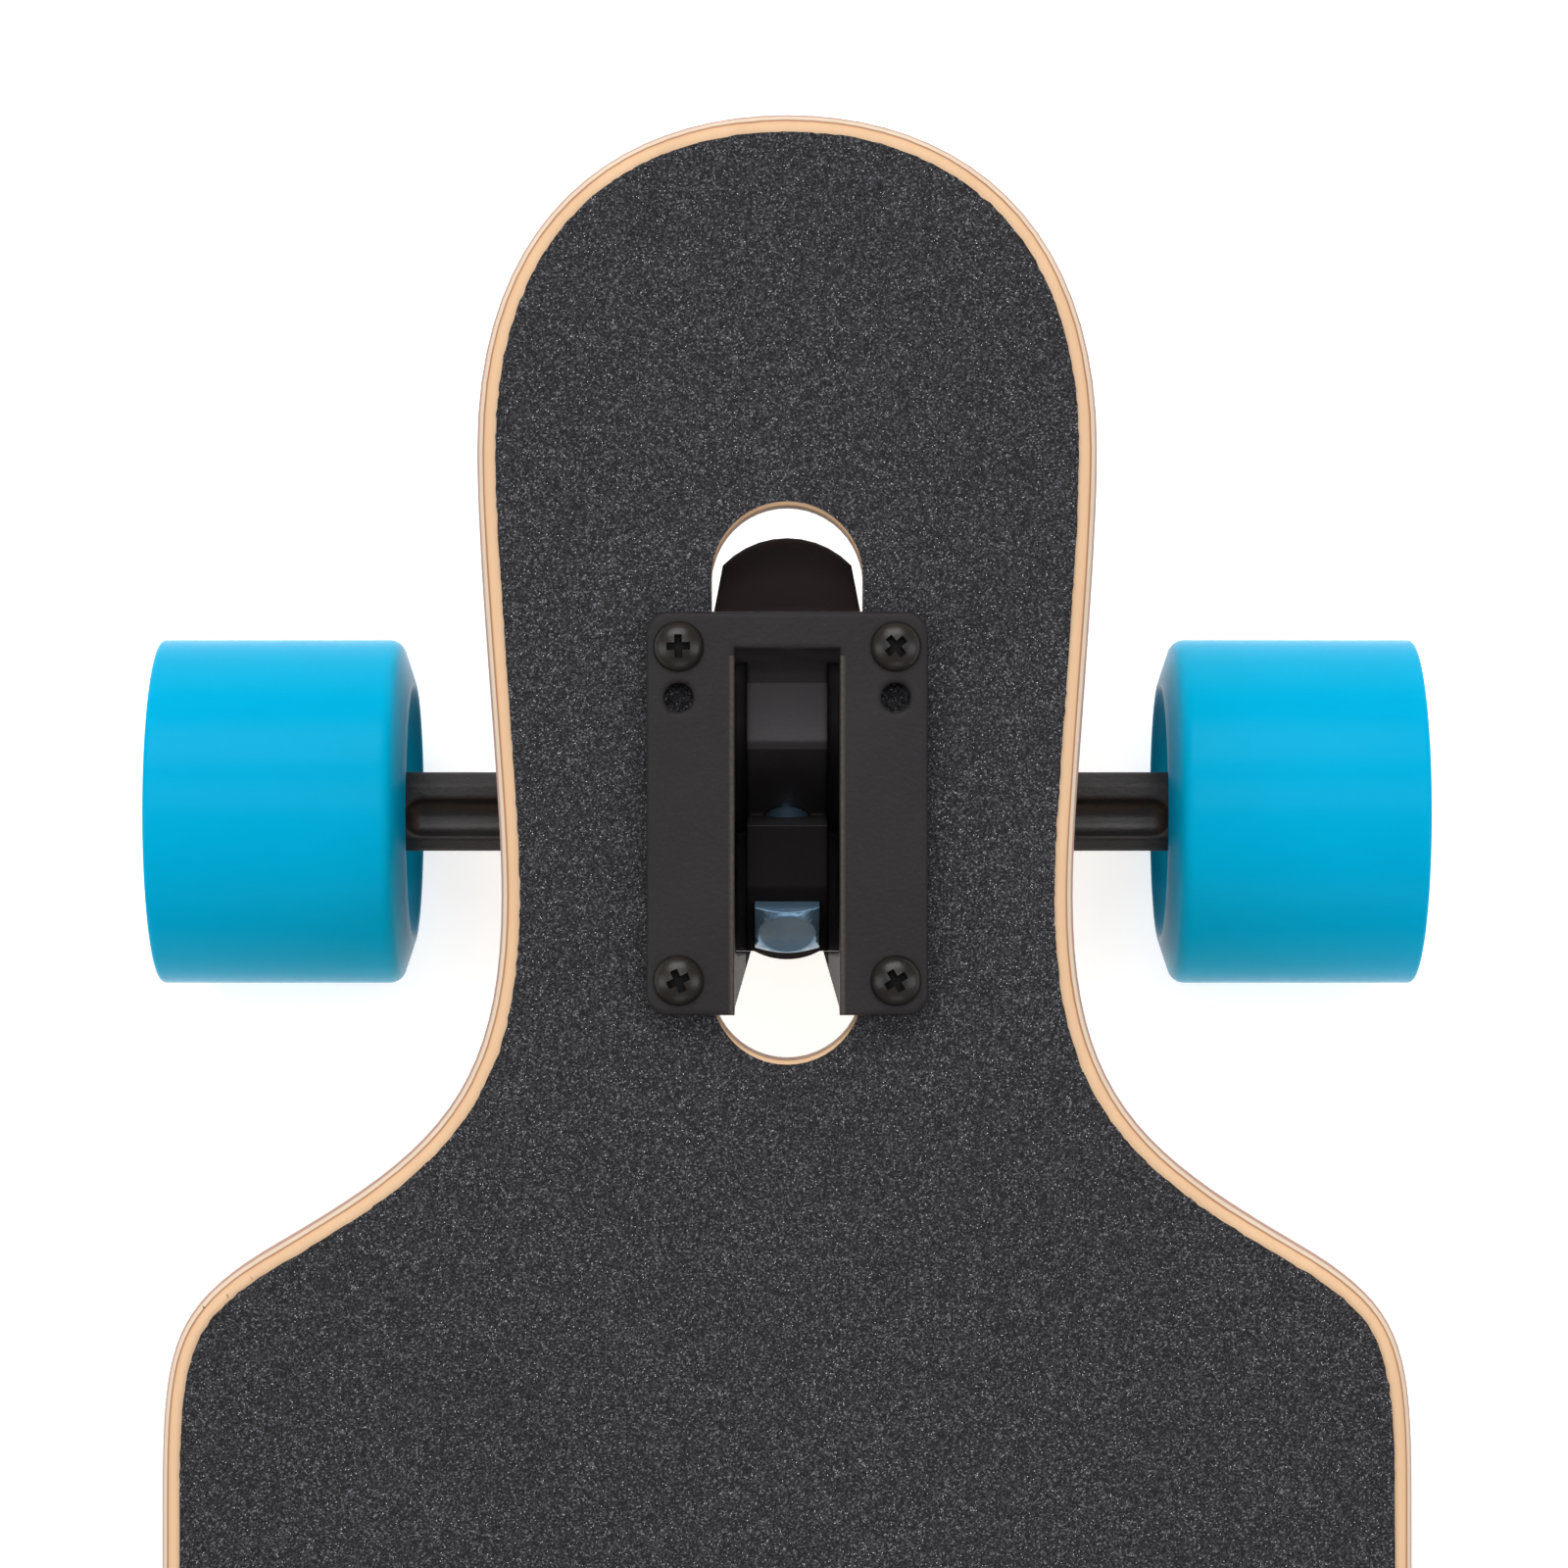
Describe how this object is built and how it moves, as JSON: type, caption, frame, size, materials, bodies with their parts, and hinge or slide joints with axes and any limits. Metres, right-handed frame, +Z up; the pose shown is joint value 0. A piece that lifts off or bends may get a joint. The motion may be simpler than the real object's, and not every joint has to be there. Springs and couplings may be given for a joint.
{
  "type": "electric skateboard",
  "caption": "Electric longboard: gripped plywood deck on drop-through reverse-kingpin trucks, cyan wheels, belt-driven rear wheels and an under-deck battery enclosure.",
  "frame": {"origin": "on the floor under the middle of the deck", "axes": "+X across the deck to the rider's right when facing the nose, +Y along the deck towards the nose, +Z up"},
  "size_m": [0.256, 1.041, 0.111],
  "materials": {
    "plywood": "satin lacquer over laminated plies",
    "grip": "coarse matte grit",
    "black_casting": "satin black over cast metal",
    "zinc": "bright zinc",
    "bushing": "smooth urethane",
    "pivot_cup": "dull",
    "black_screw": "black oxide",
    "wheel_urethane": "glossy cast urethane",
    "wheel_core": "moulded",
    "bearing_steel": "ground steel",
    "pulley_aluminium": "machined",
    "motor_pulley_steel": "machined",
    "belt_rubber": "matte",
    "mount_black": "black anodised",
    "stator": "satin",
    "motor_can": "satin black",
    "lead_sleeve": "braided sleeve",
    "gland_plastic": "moulded",
    "enclosure_plastic": "fine texture",
    "gasket_rubber": "foam",
    "cell_wrap": "shrink film",
    "heat_sink": "bead blasted",
    "bright_metal": "polished"
  },
  "bodies": {
    "board": {"deck": "plywood", "grip_tape": "grip", "front_baseplate": "black_casting", "rear_baseplate": "black_casting", "front_kingpin": "zinc", "rear_kingpin": "zinc", "kingpin_nuts": "zinc", "cup_washers": "zinc", "front_board_bushing": "bushing", "rear_board_bushing": "bushing", "front_road_bushing": "bushing", "rear_road_bushing": "bushing", "front_pivot_cup": "pivot_cup", "rear_pivot_cup": "pivot_cup", "truck_bolts": "black_screw", "truck_nuts": "black_screw", "motor_leads": "lead_sleeve", "lead_glands": "gland_plastic", "enclosure": "enclosure_plastic", "enclosure_gasket": "gasket_rubber", "enclosure_screws": "zinc", "battery_cells": "cell_wrap", "motor_controller": "heat_sink", "charge_socket": "bright_metal", "button_bezel": "bright_metal"},
    "front_hanger": {"front_hanger": "black_casting", "front_axle": "zinc", "front_axle_nuts": "zinc", "front_axle_spacers": "zinc"},
    "rear_hanger": {"rear_hanger": "black_casting", "rear_axle": "zinc", "rear_axle_nuts": "zinc", "rear_axle_spacers": "zinc", "belt_left": "belt_rubber", "belt_right": "belt_rubber", "motor_mount_left": "mount_black", "motor_mount_right": "mount_black", "motor_screws": "black_screw", "motor_stator_left": "stator", "motor_stator_right": "stator"},
    "wheel_front_left": {"wheel_front_left": "wheel_urethane", "core_front_left": "wheel_core", "bearings_front_left": "bearing_steel"},
    "wheel_front_right": {"wheel_front_right": "wheel_urethane", "core_front_right": "wheel_core", "bearings_front_right": "bearing_steel"},
    "wheel_rear_left": {"wheel_rear_left": "wheel_urethane", "core_rear_left": "wheel_core", "bearings_rear_left": "bearing_steel", "wheel_pulley_left": "pulley_aluminium"},
    "wheel_rear_right": {"wheel_rear_right": "wheel_urethane", "core_rear_right": "wheel_core", "bearings_rear_right": "bearing_steel", "wheel_pulley_right": "pulley_aluminium"},
    "rotor_left": {"motor_rotor_left": "motor_can", "motor_pulley_left": "motor_pulley_steel"},
    "rotor_right": {"motor_rotor_right": "motor_can", "motor_pulley_right": "motor_pulley_steel"},
    "power_button": {"power_button": "bright_metal"}
  },
  "joints": [
    {"name": "front_steer", "type": "hinge", "parent": "board", "child": "front_hanger", "pos_m": [0, 0.4051, 0.06219], "axis": [0, 0.6428, 0.766], "range_deg": [-15, 15], "stiffness_Nm_per_rad": 60, "deforming": ["front_board_bushing", "front_road_bushing"]},
    {"name": "rear_steer", "type": "hinge", "parent": "board", "child": "rear_hanger", "pos_m": [0, -0.4051, 0.06219], "axis": [0, -0.6428, 0.766], "range_deg": [-15, 15], "stiffness_Nm_per_rad": 60, "deforming": ["rear_board_bushing", "rear_road_bushing", "motor_leads"]},
    {"name": "wheel_spin_front_left", "type": "hinge", "parent": "front_hanger", "child": "wheel_front_left", "pos_m": [-0.102, 0.3865, 0.035], "axis": [1, 0, 0], "continuous": true},
    {"name": "wheel_spin_front_right", "type": "hinge", "parent": "front_hanger", "child": "wheel_front_right", "pos_m": [0.102, 0.3865, 0.035], "axis": [1, 0, 0], "continuous": true},
    {"name": "wheel_spin_rear_left", "type": "hinge", "parent": "rear_hanger", "child": "wheel_rear_left", "pos_m": [-0.102, -0.3865, 0.035], "axis": [1, 0, 0], "continuous": true},
    {"name": "wheel_spin_rear_right", "type": "hinge", "parent": "rear_hanger", "child": "wheel_rear_right", "pos_m": [0.102, -0.3865, 0.035], "axis": [1, 0, 0], "continuous": true},
    {"name": "motor_spin_left", "type": "hinge", "parent": "rear_hanger", "child": "rotor_left", "pos_m": [-0.025, -0.32045, 0.04428], "axis": [1, 0, 0], "continuous": true},
    {"name": "motor_spin_right", "type": "hinge", "parent": "rear_hanger", "child": "rotor_right", "pos_m": [0.025, -0.32045, 0.04428], "axis": [1, 0, 0], "continuous": true},
    {"name": "power_press", "type": "slide", "parent": "board", "child": "power_button", "axis": [-1, 0, 0], "range_m": [0, 0.0015], "stiffness_N_per_m": 1500}
  ],
  "couplings": [
    {"joint": "motor_spin_left", "follows": "wheel_spin_rear_left", "ratio": 2.4},
    {"joint": "motor_spin_right", "follows": "wheel_spin_rear_right", "ratio": 2.4}
  ]
}
